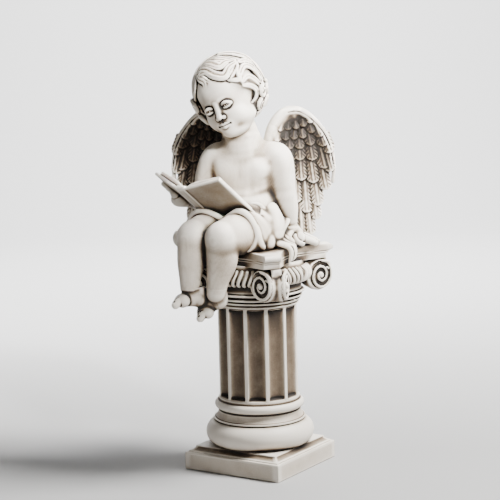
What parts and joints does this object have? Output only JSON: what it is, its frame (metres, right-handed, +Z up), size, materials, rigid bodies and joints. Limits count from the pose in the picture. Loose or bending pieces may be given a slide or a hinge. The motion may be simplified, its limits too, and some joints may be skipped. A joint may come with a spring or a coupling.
{
  "type": "garden statue of a seated reading cherub on an Ionic pedestal",
  "caption": "Cast stone winged child seated on a fluted Ionic pedestal, reading an open book, one hand on the ledge.",
  "frame": {"origin": "centre of the plinth's underside", "axes": "+Z up, -Y towards the plinth's front, where the figure's legs hang; +X to the figure's left"},
  "size_m": [0.2698, 0.2865, 0.7124],
  "materials": {
    "pedestal_stone": "cast stone, ivory, with brown antiquing left in the recesses",
    "figure_stone": "cast stone, ivory, rubbed satin on the high places, with dark brown antiquing in the carving"
  },
  "bodies": {
    "root": {"ionic_pedestal": "pedestal_stone", "cherub_figure": "figure_stone"}
  },
  "joints": []
}
